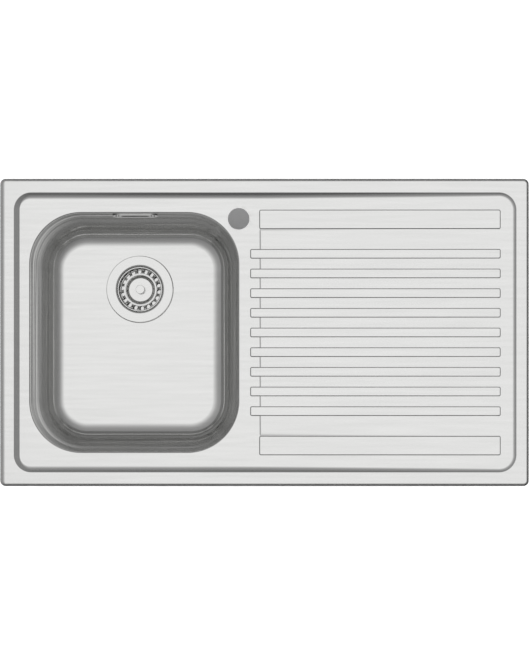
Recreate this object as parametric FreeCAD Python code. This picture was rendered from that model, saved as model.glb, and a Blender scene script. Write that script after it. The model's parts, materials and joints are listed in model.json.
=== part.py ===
"""Inset kitchen sink with one bowl and a ribbed drainboard, in millimetres.

+X runs to the drainboard, +Y to the tap side at the back, +Z up. The origin is the
centre of the outer outline on the worktop's top face, where the rim seal rests.
"""
import FreeCAD
import Part
import math
import os
from FreeCAD import Placement, Rotation, Vector

# ---- Driving dimensions -------------------------------------------------------------
# Top sheet
SINK_LENGTH = 860.0
SINK_DEPTH = 500.0
OUTER_CORNER = 9.0
STEEL = 0.8
RIM_TOP = 7.0
BEVEL_WIDTH = 3.6
BEVEL_SLOPE = math.radians(42.0)
BEVEL_TOP_RADIUS = 4.0
BEVEL_FOOT_RADIUS = 1.2
RIM_WIDTH_X = 20.7
RIM_WIDTH_Y = 22.7
PAN_CORNER = 29.0
PAN_SLOPE = math.radians(38.0)
PAN_EDGE_RADIUS = 2.0
PAN_FOOT_RADIUS = 13.0
PAN_FLOOR = 1.5
DRAINER_START = -7.2
DRAINER_END = 404.0
DRAINER_RISE = 2.75

# Ribs of the drainboard, and the low raised field between the two wide ones
RIB_MODULE = 16.0
RIB_HEIGHT = 1.5
RIB_SIDE = 1.8
RIB_CORNER = 3.0
RIB_RIGHT_END = 384.3
NARROW_RIB_LEFT_END = -23.4
WIDE_RIB_LEFT_END = -7.9
NARROW_RIB_COUNT = 9
WIDE_RIB_CENTRE = 184.0
FIELD_HALF_DEPTH = 168.0
FIELD_STEP_LEFT = 0.8
FIELD_STEP_RIGHT = 0.1

# Bowl
BOWL_X = -212.0
BOWL_HALF_X = 170.0
BOWL_HALF_Y = 195.0
BOWL_CORNER = 84.0
BOWL_LIP_RADIUS = 1.5
BOWL_JOINT = -4.0
BOWL_FLOOR = -155.0
BOWL_DRAFT = math.radians(7.3)
BOWL_BOTTOM_RADIUS = 32.0

# Tap hole
TAP_X = -42.0
TAP_Y = 185.0
TAP_HOLE_RADIUS = 17.5

# Waste, on a vertical axis in the bowl's floor
WASTE_Y = 77.0
WASTE_HOLE_RADIUS = 45.0
RECESS_DEPTH = 1.2
RECESS_TOP_RADIUS = 58.4
RECESS_FLOOR_RADIUS = 57.4
FLANGE_RADIUS = 56.5
FLANGE_EDGE_RADIUS = 0.9
FLANGE_GASKET = 1.2
FLANGE_LIP_START = 41.8
CUP_RADIUS = 38.6
CUP_FLOOR = -195.0
CUP_CORNER = 4.0
CUP_HOLES = 8
CUP_HOLE_RADIUS = 3.0
CUP_HOLE_CIRCLE = 13.0
WASTE_GASKET = 3.0
WASTE_WALL = 3.0
WASTE_BODY_RADIUS = 47.5
OUTLET_RADIUS = 23.9
OUTLET_BORE = 20.5
OUTLET_END = -250.0
INLET_Z = -190.0

# Lift-out basket
BASKET_STEEL = 0.6
BASKET_RIM = -160.0
BASKET_LEDGE = -178.0
BASKET_FLOOR = -185.0
BASKET_RIM_RADIUS = 37.6
BASKET_HEM = (1.1, 1.6)
BASKET_LEDGE_RADIUS = 30.0
BASKET_LEDGE_FALL = 1.0
BASKET_LEDGE_CORNER = 5.0
BASKET_STEP_RADIUS = 24.7
BASKET_FLOOR_RADIUS = 20.1
BASKET_SLOTS = 18
BASKET_SLOT_WIDTH = 7.4
BASKET_SLOT_START = 27.6
BASKET_SLOT_TOP = 3.0
BASKET_HOLE_RADIUS = 1.2
BASKET_PHASE = 4.0
KNOB_RADIUS = 7.3
KNOB_WAIST = 1.1
KNOB_EDGE = 0.3
KNOB_HEIGHT = 20.0

# Overflow, in the back wall of the bowl
OVERFLOW_Z = -26.0
OVERFLOW_SLOT = (46.0, 8.0)
OVERFLOW_PLATE = (74.0, 26.0)
OVERFLOW_CUTOUT = (66.0, 12.0)
OVERFLOW_SCREW_X = 29.0
HOSE_RADIUS = 11.0
HOSE_VALLEY = 9.7
HOSE_BORE = 8.0
HOSE_RIB_PITCH = 4.4
HOSE_BEND = 50.0
HOSE_Y = 210.0
HOSE_TOP = -58.0
SPIGOT_RADIUS = 12.4
SPIGOT_BORE = 8.5
NUT_RADIUS = 16.5

# Clips that pull the sink down on the worktop
CLIP_INSET = 6.5
CLIP_X = (-330.0, 60.0, 340.0)
HANGER_WIDTH = 12.0
HANGER_LENGTH = 40.0
HANGER_DROP = 7.0
HANGER_STEEL = 1.5
SCREW_RADIUS = 3.0
SCREW_END = -60.0
SCREW_RUNNING_GAP = 0.05
DOG_BOTTOM = -52.0
DOG_STEEL = 2.5
DOG_WIDTH = 14.0
DOG_REACH = 45.0
DOG_TAIL = 8.0
DOG_TOE = 6.0

# ---- Values worked out from them ----------------------------------------------------
HALF_X = SINK_LENGTH / 2
HALF_Y = SINK_DEPTH / 2
PAN_HALF_X = HALF_X - RIM_WIDTH_X
PAN_HALF_Y = HALF_Y - RIM_WIDTH_Y
PAN_FLOOR_INSET = (RIM_TOP - PAN_FLOOR) / math.tan(PAN_SLOPE) + PAN_FOOT_RADIUS * math.tan(PAN_SLOPE / 2)
PAN_FLOOR_HALF_X = PAN_HALF_X - PAN_FLOOR_INSET
PAN_FLOOR_HALF_Y = PAN_HALF_Y - PAN_FLOOR_INSET
DRAINER_SLOPE = math.atan(DRAINER_RISE / (DRAINER_END - DRAINER_START))
RECESS_FLOOR = BOWL_FLOOR - RECESS_DEPTH
FLANGE_UNDER = RECESS_FLOOR + FLANGE_GASKET
FLANGE_TOP = FLANGE_UNDER + STEEL
BOWL_UNDER = RECESS_FLOOR - STEEL
WASTE_TOP = BOWL_UNDER - WASTE_GASKET
UP = Vector(0, 0, 1)
BACK = Vector(0, 1, 0)
WASTE_AXIS = Vector(BOWL_X, WASTE_Y, 0)
FAR = 30.0


# ---- Shapes used more than once -----------------------------------------------------
def rounded_rectangle(centre, half_x, half_y, radius):
    """Closed wire of a rectangle with arcs in its corners, in a plane of constant Z."""
    edges = []
    corners = [(1, 1), (-1, 1), (-1, -1), (1, -1)]
    last = centre + Vector(half_x, half_y - radius, 0)
    for number, (sx, sy) in enumerate(corners):
        middle = centre + Vector(sx * (half_x - radius), sy * (half_y - radius), 0)
        ends = [middle + Vector(sx * radius, 0, 0), middle + Vector(0, sy * radius, 0)]
        if number % 2:
            ends.reverse()
        if (ends[0] - last).Length > 1e-6:
            edges.append(Part.LineSegment(last, ends[0]).toShape())
        bulge = middle + Vector(sx, sy, 0) * (radius / math.sqrt(2))
        edges.append(Part.Arc(ends[0], bulge, ends[1]).toShape())
        last = ends[1]
    first = centre + Vector(half_x, half_y - radius, 0)
    if (first - last).Length > 1e-6:
        edges.append(Part.LineSegment(last, first).toShape())
    return Part.Wire(edges)


def prism(centre, half_x, half_y, radius, height):
    """Upright block with a rounded-rectangle outline, standing on centre."""
    outline = rounded_rectangle(centre, half_x, half_y, radius)
    return Part.Face(outline).extrude(UP * height)


def tapered(centre, half_x, half_y, radius, top, bottom, run_per_height):
    """Block whose outline at Z = 0 shrinks evenly as it goes down from there."""
    wires = []
    for level in (top, bottom):
        inset = -level * run_per_height
        place = centre + UP * level
        wires.append(rounded_rectangle(place, half_x - inset, half_y - inset, radius - inset))
    return Part.makeLoft(wires, True, True)


def edges_at(shape, level, half_x, half_y, centre_x=0.0):
    """Edges lying at one level inside a centred rectangle."""
    found = []
    for edge in shape.Edges:
        box = edge.BoundBox
        flat = abs(box.ZMin - level) < 1e-4 and abs(box.ZMax - level) < 1e-4
        inside_x = box.XMin > centre_x - half_x and box.XMax < centre_x + half_x
        inside_y = box.YMin > -half_y and box.YMax < half_y
        if flat and inside_x and inside_y:
            found.append(edge)
    return found


def tube(centre, outer, inner, height, axis=UP):
    """Plain ring or tube standing on centre along axis."""
    ring = Part.makeCylinder(outer, height, centre, axis)
    return ring.cut(Part.makeCylinder(inner, height, centre, axis))


def rounded_path(points, radii):
    """Open wire through (radius, Z) points in the XZ plane, with arcs at some of them."""
    spots = [Vector(x, 0, z) for x, z in points]
    edges = []
    start = spots[0]
    for number in range(1, len(spots) - 1):
        spot = spots[number]
        radius = radii.get(number, 0.0)
        if radius == 0.0:
            edges.append(Part.LineSegment(start, spot).toShape())
            start = spot
            continue
        back = (spots[number - 1] - spot).normalize()
        ahead = (spots[number + 1] - spot).normalize()
        half_angle = back.getAngle(ahead) / 2
        reach = radius / math.tan(half_angle)
        middle = spot + (back + ahead).normalize() * (radius / math.sin(half_angle))
        bulge = middle + (spot - middle).normalize() * radius
        if (spot + back * reach - start).Length > 1e-6:
            edges.append(Part.LineSegment(start, spot + back * reach).toShape())
        edges.append(Part.Arc(spot + back * reach, bulge, spot + ahead * reach).toShape())
        start = spot + ahead * reach
    edges.append(Part.LineSegment(start, spots[-1]).toShape())
    return Part.Wire(edges)


def turned_sheet(points, radii, thickness, place):
    """Sheet-metal shape turned about a vertical axis, thickness below its path."""
    strip = rounded_path(points, radii).makeOffset2D(thickness, fill=True, openResult=True)
    shape = strip.revolve(Vector(0, 0, 0), UP, 360)
    shape.translate(place)
    return shape


def turned_block(points, place, axis=UP):
    """Solid turned from a closed (radius, height) outline, its axis through place."""
    outline = Part.makePolygon([Vector(r, 0, z) for r, z in points + points[:1]])
    shape = Part.Face(outline).revolve(Vector(0, 0, 0), UP, 360)
    shape.Placement = Placement(place, Rotation(UP, axis))
    return shape


def around(shape, count, axis_point, phase=0.0):
    """Copies of shape turned evenly about a vertical axis."""
    copies = []
    for number in range(count):
        copy = shape.copy()
        copy.rotate(axis_point, UP, phase + 360.0 * number / count)
        copies.append(copy)
    return copies


# ---- Top sheet ----------------------------------------------------------------------
def drainer_tilt(shape):
    """Lay a shape drawn on the level pan floor on the rising floor of the drainboard."""
    shape.rotate(Vector(DRAINER_START, 0, PAN_FLOOR), BACK, -math.degrees(DRAINER_SLOPE))
    return shape


def rib_below(left_end, centre_y, half_depth, offset):
    """Space under one rib's face, moved in by offset, on the drainboard's floor."""
    side = RIB_SIDE / RIB_HEIGHT
    shift = offset / math.sin(math.atan2(RIB_HEIGHT, RIB_SIDE))
    half_length = (RIB_RIGHT_END - left_end) / 2
    wires = []
    for level in (-offset - 1.0, RIB_HEIGHT - offset):
        inset = level * side + shift
        place = Vector((RIB_RIGHT_END + left_end) / 2, centre_y, PAN_FLOOR + level)
        radius = max(RIB_CORNER - inset, 0.6)
        wires.append(rounded_rectangle(place, half_length - inset, half_depth - inset, radius))
    return drainer_tilt(Part.makeLoft(wires, True, True))


def ribs_below(offset):
    ribs = []
    for number in range(NARROW_RIB_COUNT):
        y = (number - (NARROW_RIB_COUNT - 1) / 2) * 2 * RIB_MODULE
        ribs.append(rib_below(NARROW_RIB_LEFT_END, y, RIB_MODULE / 2, offset))
    for y in (-WIDE_RIB_CENTRE, WIDE_RIB_CENTRE):
        ribs.append(rib_below(WIDE_RIB_LEFT_END, y, RIB_MODULE, offset))
    return ribs


def wedge_below(start, end, rise_start, rise_end, half_depth, offset):
    """Block under a sloping face from start to end, the face lowered by offset."""
    corners = [
        Vector(start, -half_depth, BOWL_JOINT),
        Vector(end, -half_depth, BOWL_JOINT),
        Vector(end, -half_depth, PAN_FLOOR + rise_end - offset),
        Vector(start, -half_depth, PAN_FLOOR + rise_start - offset),
    ]
    outline = Part.makePolygon(corners + corners[:1])
    return Part.Face(outline).extrude(BACK * 2 * half_depth)


def bevelled_block(offset, bottom):
    """Outline of the sink with its bevelled, turned-down edge, moved in by offset."""
    top = RIM_TOP - offset
    run = 1 / math.tan(BEVEL_SLOPE)
    reach = RIM_TOP * run - BEVEL_WIDTH - offset / math.sin(BEVEL_SLOPE)
    bevel_foot = (reach + offset) / run
    sides = prism(UP * bottom, HALF_X - offset, HALF_Y - offset, OUTER_CORNER - offset, top - bottom)
    roof = tapered(Vector(0, 0, 0), HALF_X + reach, HALF_Y + reach, OUTER_CORNER + reach, bottom, top, -run)
    block = sides.common(roof)
    far = FAR + HALF_X
    block = block.makeFillet(BEVEL_TOP_RADIUS - offset, edges_at(block, top, far, far))
    return block.makeFillet(BEVEL_FOOT_RADIUS - offset, edges_at(block, bevel_foot, far, far))


def below_top_face(offset, bottom):
    """Everything under the top face moved in by offset, down to the level bottom."""
    top = RIM_TOP - offset
    block = bevelled_block(offset, bottom)
    run = 1 / math.tan(PAN_SLOPE)
    rise = offset / math.sin(PAN_SLOPE)
    floor = PAN_FLOOR - offset
    pan = tapered(Vector(0, 0, 0), PAN_HALF_X - RIM_TOP * run + rise, PAN_HALF_Y - RIM_TOP * run + rise,
                  PAN_CORNER - RIM_TOP * run + rise, RIM_TOP + 2.0, floor, run)
    pan = pan.makeFillet(PAN_FOOT_RADIUS + offset, edges_at(pan, floor, HALF_X, HALF_Y))
    block = block.cut(pan)
    pan_edges = edges_at(block, top, PAN_HALF_X + 2.0, PAN_HALF_Y + 2.0)
    block = block.makeFillet(PAN_EDGE_RADIUS - offset, pan_edges)

    opening = prism(Vector(BOWL_X, 0, bottom), BOWL_HALF_X + offset, BOWL_HALF_Y + offset,
                    BOWL_CORNER + offset, FAR)
    block = block.cut(opening)
    lip = edges_at(block, floor, BOWL_HALF_X + 2.0, BOWL_HALF_Y + 2.0, BOWL_X)
    block = block.makeFillet(BOWL_LIP_RADIUS - offset, lip)

    end = PAN_HALF_X + 5.0
    rise_end = (end - DRAINER_START) * math.tan(DRAINER_SLOPE)
    drainer = wedge_below(DRAINER_START, end, 0.0, rise_end, PAN_HALF_Y, offset)
    field_rise = (RIB_RIGHT_END - DRAINER_START) * math.tan(DRAINER_SLOPE) + FIELD_STEP_RIGHT
    field = wedge_below(DRAINER_START + offset, RIB_RIGHT_END - offset, FIELD_STEP_LEFT, field_rise,
                        FIELD_HALF_DEPTH - offset, offset)
    block = block.fuse([drainer, field] + ribs_below(offset))
    return block.removeSplitter()


def drainer_top():
    """Pressed top: turned-down rim, sunk pan, ribbed drainboard, bowl opening, tap hole."""
    sheet = below_top_face(0.0, BOWL_JOINT).cut(below_top_face(STEEL, BOWL_JOINT - 1.0))
    under = Part.makeBox(SINK_LENGTH + 2, SINK_DEPTH + 2, -BOWL_JOINT + 2,
                         Vector(-HALF_X - 1, -HALF_Y - 1, BOWL_JOINT - 2))
    neck = prism(Vector(BOWL_X, 0, BOWL_JOINT - 2), BOWL_HALF_X + 3, BOWL_HALF_Y + 3,
                 BOWL_CORNER + 3, FAR)
    sheet = sheet.cut(under.cut(neck))
    hole = Part.makeCylinder(TAP_HOLE_RADIUS, FAR, Vector(TAP_X, TAP_Y, BOWL_JOINT))
    return sheet.cut(hole)


def rim_seal():
    """Foam strip under the flat of the rim, resting on the worktop."""
    outer = BEVEL_WIDTH + BEVEL_TOP_RADIUS * math.tan(BEVEL_SLOPE / 2)
    width = 5.5
    height = RIM_TOP - STEEL
    ring = prism(Vector(0, 0, 0), HALF_X - outer, HALF_Y - outer, OUTER_CORNER, height)
    hole = prism(Vector(0, 0, 0), HALF_X - outer - width, HALF_Y - outer - width,
                 OUTER_CORNER - width, height)
    return ring.cut(hole)


# ---- Bowl ---------------------------------------------------------------------------
def bowl_space(offset, top):
    """Space inside the bowl's inner face, moved out by offset."""
    run = math.tan(BOWL_DRAFT)
    grow = offset / math.cos(BOWL_DRAFT) - BOWL_JOINT * run
    bottom = BOWL_FLOOR - offset
    space = tapered(Vector(BOWL_X, 0, 0), BOWL_HALF_X + grow, BOWL_HALF_Y + grow,
                    BOWL_CORNER + grow, top, bottom, run)
    space = space.makeFillet(BOWL_BOTTOM_RADIUS + offset, edges_at(space, bottom, HALF_X, HALF_Y, BOWL_X))
    recess = Part.makeCone(RECESS_FLOOR_RADIUS + offset / 2, RECESS_TOP_RADIUS + offset / 2, RECESS_DEPTH,
                           WASTE_AXIS + UP * (bottom - RECESS_DEPTH))
    return space.fuse(recess)


def bowl():
    """Deep-drawn bowl, welded to the top sheet's neck."""
    shell = bowl_space(STEEL, BOWL_JOINT).cut(bowl_space(0.0, BOWL_JOINT + 1.0))
    hole = Part.makeCylinder(WASTE_HOLE_RADIUS, FAR, WASTE_AXIS + UP * (BOWL_UNDER - FAR / 2))
    return shell.cut([hole, on_wall(slot_block(OVERFLOW_CUTOUT, -5.0, 5.0))])


def bowl_sound_pad():
    return prism(Vector(BOWL_X, -70.0, BOWL_FLOOR - STEEL - 2.5), 110.0, 55.0, 12.0, 2.5)


def drainer_sound_pad():
    """Damping sheet stuck under the raised field of the drainboard."""
    thickness = 2.5
    length = RIB_RIGHT_END - DRAINER_START
    field_rise = length * math.tan(DRAINER_SLOPE) + FIELD_STEP_RIGHT - FIELD_STEP_LEFT
    start = Vector(DRAINER_START, 0, PAN_FLOOR + FIELD_STEP_LEFT - STEEL - 0.01)
    pad = prism(start + Vector(length / 2, 0, -thickness), 130.0, 100.0, 15.0, thickness)
    pad.rotate(start, BACK, -math.degrees(math.atan2(field_rise, length)))
    return pad


# ---- Overflow -----------------------------------------------------------------------
def wall_y(level):
    """Y of the bowl's inner back wall at one level."""
    return BOWL_HALF_Y - (BOWL_JOINT - level) * math.tan(BOWL_DRAFT)


def on_wall(shape):
    """Move a shape drawn with Y through the wall and Z up it to the overflow's place."""
    spot = Vector(BOWL_X, wall_y(OVERFLOW_Z), OVERFLOW_Z)
    shape.Placement = Placement(spot, Rotation(Vector(1, 0, 0), -math.degrees(BOWL_DRAFT))) * shape.Placement
    return shape


def slot_block(size, near, far):
    """Block with round ends, size wide and high, reaching from near to far along Y."""
    block = prism(Vector(0, 0, 0), size[0] / 2, size[1] / 2, size[1] / 2 - 0.01, far - near)
    block.rotate(Vector(0, 0, 0), Vector(1, 0, 0), -90)
    block.translate(BACK * near)
    return block


GASKET_BACK = STEEL + 2.0
OVERFLOW_FLANGE_BACK = GASKET_BACK + 3.0
OVERFLOW_BACK = 31.0
SPIGOT_LENGTH = 14.0
WASHER = 2.0
HOSE_COLLAR = 2.5
COLLAR_STEP = 0.2


def overflow_plate():
    plate = slot_block(OVERFLOW_PLATE, -1.0, 0.0).cut(slot_block(OVERFLOW_SLOT, -3.0, 3.0))
    for x in (-OVERFLOW_SCREW_X, OVERFLOW_SCREW_X):
        plate = plate.cut(Part.makeCylinder(1.7, 6.0, Vector(x, -3.0, 0), BACK))
    return on_wall(plate)


def overflow_gasket():
    gasket = slot_block(OVERFLOW_PLATE, STEEL, GASKET_BACK)
    return on_wall(gasket.cut(slot_block(OVERFLOW_CUTOUT, 0.0, GASKET_BACK + 1)))


def overflow_body():
    """Plastic housing behind the wall, with screw bosses and a threaded spigot below."""
    housing = slot_block(OVERFLOW_PLATE, GASKET_BACK, OVERFLOW_FLANGE_BACK)
    housing = on_wall(housing.fuse(slot_block((68.0, 20.0), OVERFLOW_FLANGE_BACK, OVERFLOW_BACK)))
    spigot_end = Vector(BOWL_X, HOSE_Y, HOSE_TOP + WASHER)
    housing = housing.fuse(Part.makeCylinder(SPIGOT_RADIUS, SPIGOT_LENGTH + 6.0, spigot_end))
    housing = housing.cut(on_wall(slot_block((62.0, 14.0), 0.0, OVERFLOW_BACK - 2.5)))
    housing = housing.cut(Part.makeCylinder(SPIGOT_BORE, SPIGOT_LENGTH + 10.0, spigot_end))
    depth = OVERFLOW_BACK - GASKET_BACK - 1.0
    bosses = []
    for x in (-OVERFLOW_SCREW_X + 1.0, OVERFLOW_SCREW_X - 1.0):
        bosses.append(on_wall(Part.makeBox(8.0, depth, 15.0, Vector(x - 4.0, GASKET_BACK, -7.5))))
    housing = housing.fuse(bosses)
    for x in (-OVERFLOW_SCREW_X, OVERFLOW_SCREW_X):
        housing = housing.cut(on_wall(Part.makeCylinder(1.6, 14.0, Vector(x, 0, 0), BACK)))
    return housing


def overflow_screws():
    screws = []
    for x in (-OVERFLOW_SCREW_X, OVERFLOW_SCREW_X):
        head = Part.makeCylinder(3.0, 1.6, Vector(x, -2.6, 0), BACK)
        head = head.cut(Part.makeBox(0.8, 0.8, 7.0, Vector(x - 0.4, -2.6, -3.5)))
        screw = head.fuse(Part.makeCylinder(1.6, 13.5, Vector(x, -1.0, 0), BACK))
        screws.append(on_wall(screw))
    return Part.makeCompound(screws)


HOSE_END_Y = WASTE_Y + WASTE_BODY_RADIUS + SPIGOT_LENGTH - 2.0 + WASHER
HOSE_DROP = HOSE_TOP - INLET_Z - HOSE_BEND
HOSE_ARC = HOSE_BEND * math.pi / 2
HOSE_LENGTH = HOSE_DROP + HOSE_ARC + HOSE_Y - HOSE_BEND - HOSE_END_Y


def hose_at(distance):
    """Point and direction of the hose's middle line: down, a quarter bend, then forward."""
    if distance <= HOSE_DROP:
        return Vector(BOWL_X, HOSE_Y, HOSE_TOP - distance), Vector(0, 0, -1)
    angle = (distance - HOSE_DROP) / HOSE_BEND
    if angle >= math.pi / 2:
        return Vector(BOWL_X, HOSE_END_Y + HOSE_LENGTH - distance, INLET_Z), Vector(0, -1, 0)
    y = HOSE_Y - HOSE_BEND * (1 - math.cos(angle))
    z = HOSE_TOP - HOSE_DROP - HOSE_BEND * math.sin(angle)
    return Vector(BOWL_X, y, z), Vector(0, -math.sin(angle), -math.cos(angle))


def ring_wire(radius, centre, direction):
    """Circle square to direction, with its start always on the +X side."""
    side = direction.cross(Vector(1, 0, 0))
    steady = FreeCAD.Matrix(1, side.x, direction.x, centre.x, 0, side.y, direction.y, centre.y,
                            0, side.z, direction.z, centre.z, 0, 0, 0, 1)
    circle = Part.makeCircle(radius)
    circle.Placement = Placement(steady)
    return Part.Wire([circle])


def overflow_hose():
    """Corrugated hose with a smooth bore and a collar at each end."""
    collar = SPIGOT_RADIUS - 0.4
    end_rings = [(0.0, collar), (HOSE_COLLAR, collar), (HOSE_COLLAR + COLLAR_STEP, HOSE_VALLEY)]
    count = int((HOSE_LENGTH - 4 * HOSE_RADIUS) / HOSE_RIB_PITCH)
    first_rib = (HOSE_LENGTH - count * HOSE_RIB_PITCH) / 2
    rib_profile = ((0.12, HOSE_VALLEY), (0.30, HOSE_RADIUS), (0.70, HOSE_RADIUS), (0.88, HOSE_VALLEY))
    ribs = []
    for number in range(count):
        foot = first_rib + number * HOSE_RIB_PITCH
        for share, radius in rib_profile:
            ribs.append((foot + share * HOSE_RIB_PITCH, radius))
    rings = end_rings + ribs + [(HOSE_LENGTH - place, radius) for place, radius in reversed(end_rings)]
    skin = Part.makeLoft([ring_wire(radius, *hose_at(place)) for place, radius in rings], True, True)
    stops = [-1.0] + [place for place, radius in ribs[::2]] + [HOSE_LENGTH + 1.0]
    bore = Part.makeLoft([ring_wire(HOSE_BORE, *hose_at(place)) for place in stops], True, True)
    print("hose", round(HOSE_LENGTH), "mm long,", count, "ribs, bend radius", HOSE_BEND, "mm, straight ends",
          round(HOSE_DROP), "and", round(HOSE_Y - HOSE_BEND - HOSE_END_Y), "mm")
    return skin.cut(bore)


def union_nut(start, direction):
    """Ribbed nut round a threaded spigot, from start, over the hose's collar."""
    depth = SPIGOT_LENGTH - 3.0 + WASHER + HOSE_COLLAR + COLLAR_STEP
    nut = tube(Vector(0, 0, 0), NUT_RADIUS, SPIGOT_RADIUS, depth)
    nut = nut.fuse(tube(UP * depth, NUT_RADIUS, HOSE_VALLEY + 0.3, 2.0))
    for grip in around(Part.makeBox(1.6, 3.0, depth + 2.0, Vector(NUT_RADIUS - 0.6, -1.5, 0)), 12, Vector()):
        nut = nut.fuse(grip)
    nut.Placement = Placement(start, Rotation(UP, direction))
    return nut


def nut_and_washer(spigot_face, direction):
    """Nut and washer where direction runs from the spigot's end face into the hose."""
    nut = union_nut(spigot_face - direction * (SPIGOT_LENGTH - 3.0), direction)
    washer = tube(spigot_face, SPIGOT_RADIUS - 0.4, SPIGOT_BORE, WASHER, direction)
    return nut, washer


def hose_joints():
    """Upper nut, lower nut, and the two washers in one group."""
    upper_nut, upper_washer = nut_and_washer(Vector(BOWL_X, HOSE_Y, HOSE_TOP + WASHER), Vector(0, 0, -1))
    lower_nut, lower_washer = nut_and_washer(Vector(BOWL_X, HOSE_END_Y - WASHER, INLET_Z), BACK)
    return upper_nut, lower_nut, Part.makeCompound([upper_washer, lower_washer])


# ---- Waste --------------------------------------------------------------------------
def strainer_cup():
    """Steel flange and cup that the basket drops into, perforated round the screw."""
    points = [(FLANGE_RADIUS, FLANGE_TOP - 1.9), (FLANGE_RADIUS, FLANGE_TOP), (CUP_RADIUS, FLANGE_TOP),
              (CUP_RADIUS, CUP_FLOOR), (SCREW_RADIUS + 0.3, CUP_FLOOR)]
    radii = {1: FLANGE_EDGE_RADIUS, 2: FLANGE_LIP_START - CUP_RADIUS, 3: CUP_CORNER}
    cup = turned_sheet(points, radii, STEEL, WASTE_AXIS)
    hole = Part.makeCylinder(CUP_HOLE_RADIUS, 4.0, WASTE_AXIS + Vector(CUP_HOLE_CIRCLE, 0, CUP_FLOOR - 2.0))
    return cup.cut(around(hole, CUP_HOLES, WASTE_AXIS))


def flange_gasket():
    outer = FLANGE_RADIUS - FLANGE_EDGE_RADIUS - 0.1
    return tube(WASTE_AXIS + UP * RECESS_FLOOR, outer, WASTE_HOLE_RADIUS, FLANGE_GASKET)


def waste_gasket():
    return tube(WASTE_AXIS + UP * WASTE_TOP, WASTE_BODY_RADIUS + 9.5, WASTE_HOLE_RADIUS, WASTE_GASKET)


BOSS_TOP = CUP_FLOOR - STEEL
BOSS_BOTTOM = BOSS_TOP - 21.0
FUNNEL_TOP = -205.0
FUNNEL_END = -222.0
INSERT_RADIUS = 6.0


def waste_body():
    """Plastic funnel under the bowl: overflow inlet, outlet thread, boss on four webs."""
    flange = WASTE_BODY_RADIUS + 10.5
    outline = [(0, WASTE_TOP), (flange, WASTE_TOP), (flange, WASTE_TOP - 4.0),
               (WASTE_BODY_RADIUS, WASTE_TOP - 4.0), (WASTE_BODY_RADIUS, FUNNEL_TOP),
               (OUTLET_RADIUS + 2.5, FUNNEL_END), (OUTLET_RADIUS + 2.5, FUNNEL_END - 5.0),
               (OUTLET_RADIUS, FUNNEL_END - 5.0), (OUTLET_RADIUS, OUTLET_END), (0, OUTLET_END)]
    inside = WASTE_BODY_RADIUS - WASTE_WALL
    hollow = [(0, WASTE_TOP + 1.0), (inside, WASTE_TOP + 1.0), (inside, FUNNEL_TOP + 1.5),
              (OUTLET_BORE, FUNNEL_END + 1.5), (OUTLET_BORE, OUTLET_END - 1.0), (0, OUTLET_END - 1.0)]
    outer = turned_block(outline, WASTE_AXIS)
    spigot_root = WASTE_AXIS + Vector(0, inside, INLET_Z)
    spigot_length = WASTE_WALL + SPIGOT_LENGTH - 2.0
    body = outer.fuse(Part.makeCylinder(SPIGOT_RADIUS, spigot_length, spigot_root, BACK))
    body = body.cut(turned_block(hollow, WASTE_AXIS))
    body = body.cut(Part.makeCylinder(SPIGOT_BORE, FAR, spigot_root - BACK * 5.0, BACK))
    web = Part.makeBox(inside + 1.0, 3.0, FUNNEL_TOP - BOSS_BOTTOM, WASTE_AXIS + Vector(0, -1.5, BOSS_BOTTOM))
    webs = [blade.common(outer) for blade in around(web, 4, WASTE_AXIS, 45.0)]
    boss = Part.makeCylinder(INSERT_RADIUS + 3.0, BOSS_TOP - BOSS_BOTTOM, WASTE_AXIS + UP * BOSS_BOTTOM)
    body = body.fuse(webs + [boss])
    return body.cut(Part.makeCylinder(INSERT_RADIUS, FAR, WASTE_AXIS + UP * (BOSS_BOTTOM + 2.0)))


def screw_insert():
    return tube(WASTE_AXIS + UP * (BOSS_BOTTOM + 2.0), INSERT_RADIUS, SCREW_RADIUS, 17.0)


def waste_screw():
    head = Part.makeCylinder(7.0, 3.2, WASTE_AXIS + UP * CUP_FLOOR)
    head = head.cut(Part.makeBox(15.0, 1.4, 1.5, WASTE_AXIS + Vector(-7.5, -0.7, CUP_FLOOR + 1.7)))
    return head.fuse(Part.makeCylinder(SCREW_RADIUS, 19.0, WASTE_AXIS + UP * (CUP_FLOOR - 19.0)))


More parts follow.
